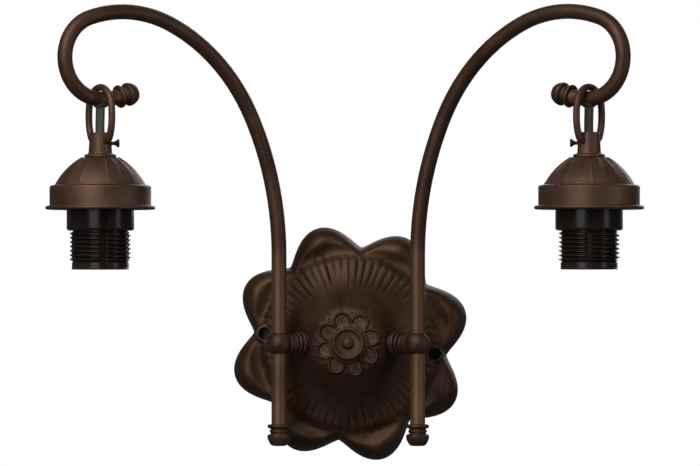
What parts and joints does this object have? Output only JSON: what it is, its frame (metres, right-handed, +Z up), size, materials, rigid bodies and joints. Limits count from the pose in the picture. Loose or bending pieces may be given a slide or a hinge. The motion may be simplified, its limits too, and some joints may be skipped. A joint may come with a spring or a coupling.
{
  "type": "wall sconce",
  "caption": "Wall sconce: a cast flower backplate carries bent crook arms, each with an oval link, a fluted dome cover and a bare threaded lamp holder.",
  "frame": {"origin": "middle of the crossbar's back face, on the wall plane behind the flower's middle", "axes": "+Z up, +Y into the wall, the front faces -Y"},
  "size_m": [0.374, 0.1526, 0.2864],
  "materials": {
    "bronze_plate": "satin mahogany bronze over cast metal",
    "bronze": "satin mahogany bronze over turned and bent metal",
    "zinc_steel": "zinc plated",
    "ground_green": "green passivated",
    "grommet_rubber": "matt",
    "cord_jacket": "satin",
    "black_phenolic": "moulded gloss",
    "shell_metal": "pressed",
    "carrier_moulding": "moulded",
    "contact_brass": "pressed"
  },
  "bodies": {
    "wall_plate": {"backplate": "bronze_plate", "rosette": "bronze_plate", "centre_nipple": "zinc_steel", "centre_nut": "zinc_steel", "crossbar": "zinc_steel", "ground_screw": "ground_green", "left_coupling": "bronze", "left_ball": "bronze", "left_arm_nipple": "zinc_steel", "left_arm_nut": "zinc_steel", "right_coupling": "bronze", "right_ball": "bronze", "right_arm_nipple": "zinc_steel", "right_arm_nut": "zinc_steel"},
    "knob": {"knob": "bronze"},
    "left_arm": {"left_arm": "bronze", "left_bottom_finial": "bronze", "left_tip_finial": "bronze", "left_grommet": "grommet_rubber"},
    "left_link": {"left_link": "bronze", "left_cord": "cord_jacket"},
    "left_lamp": {"left_collar": "bronze", "left_dome_cover": "bronze", "left_lamp_nipple": "zinc_steel", "left_cover_nut": "zinc_steel", "left_lamp_holder": "black_phenolic", "left_screw_shell": "shell_metal", "left_contact_carrier": "carrier_moulding", "left_centre_contact": "contact_brass", "left_terminal_screws": "contact_brass"},
    "left_thumb_screw": {"left_thumb_screw": "bronze"},
    "right_arm": {"right_arm": "bronze", "right_bottom_finial": "bronze", "right_tip_finial": "bronze", "right_grommet": "grommet_rubber"},
    "right_link": {"right_link": "bronze", "right_cord": "cord_jacket"},
    "right_lamp": {"right_collar": "bronze", "right_dome_cover": "bronze", "right_lamp_nipple": "zinc_steel", "right_cover_nut": "zinc_steel", "right_lamp_holder": "black_phenolic", "right_screw_shell": "shell_metal", "right_contact_carrier": "carrier_moulding", "right_centre_contact": "contact_brass", "right_terminal_screws": "contact_brass"},
    "right_thumb_screw": {"right_thumb_screw": "bronze"}
  },
  "joints": [
    {"name": "knob_turn", "type": "hinge", "parent": "wall_plate", "child": "knob", "pos_m": [0, -0.048, 0], "axis": [0, -1, 0], "continuous": true},
    {"name": "left_arm_swivel", "type": "hinge", "parent": "wall_plate", "child": "left_arm", "pos_m": [-0.0438, -0.042, 0], "axis": [0, 0, 1], "range_deg": [-20, 20]},
    {"name": "left_link_swing", "type": "hinge", "parent": "left_arm", "child": "left_link", "pos_m": [-0.15249, -0.11811, 0.15257], "axis": [-0.8192, -0.5736, 0], "range_deg": [-30, 30]},
    {"name": "left_lamp_swing", "type": "hinge", "parent": "left_link", "child": "left_lamp", "pos_m": [-0.15249, -0.11811, 0.12643], "axis": [-0.5736, 0.8192, 0], "range_deg": [-20, 20]},
    {"name": "left_thumb_turn", "type": "hinge", "parent": "left_lamp", "child": "left_thumb_screw", "pos_m": [-0.14349, -0.11811, 0.12493], "axis": [1, 0, 0], "continuous": true},
    {"name": "right_arm_swivel", "type": "hinge", "parent": "wall_plate", "child": "right_arm", "pos_m": [0.0438, -0.042, 0], "axis": [0, 0, 1], "range_deg": [-20, 20]},
    {"name": "right_link_swing", "type": "hinge", "parent": "right_arm", "child": "right_link", "pos_m": [0.15249, -0.11811, 0.15257], "axis": [0.8192, -0.5736, 0], "range_deg": [-30, 30]},
    {"name": "right_lamp_swing", "type": "hinge", "parent": "right_link", "child": "right_lamp", "pos_m": [0.15249, -0.11811, 0.12643], "axis": [0.5736, 0.8192, 0], "range_deg": [-20, 20]},
    {"name": "right_thumb_turn", "type": "hinge", "parent": "right_lamp", "child": "right_thumb_screw", "pos_m": [0.14349, -0.11811, 0.12493], "axis": [-1, 0, 0], "continuous": true}
  ]
}
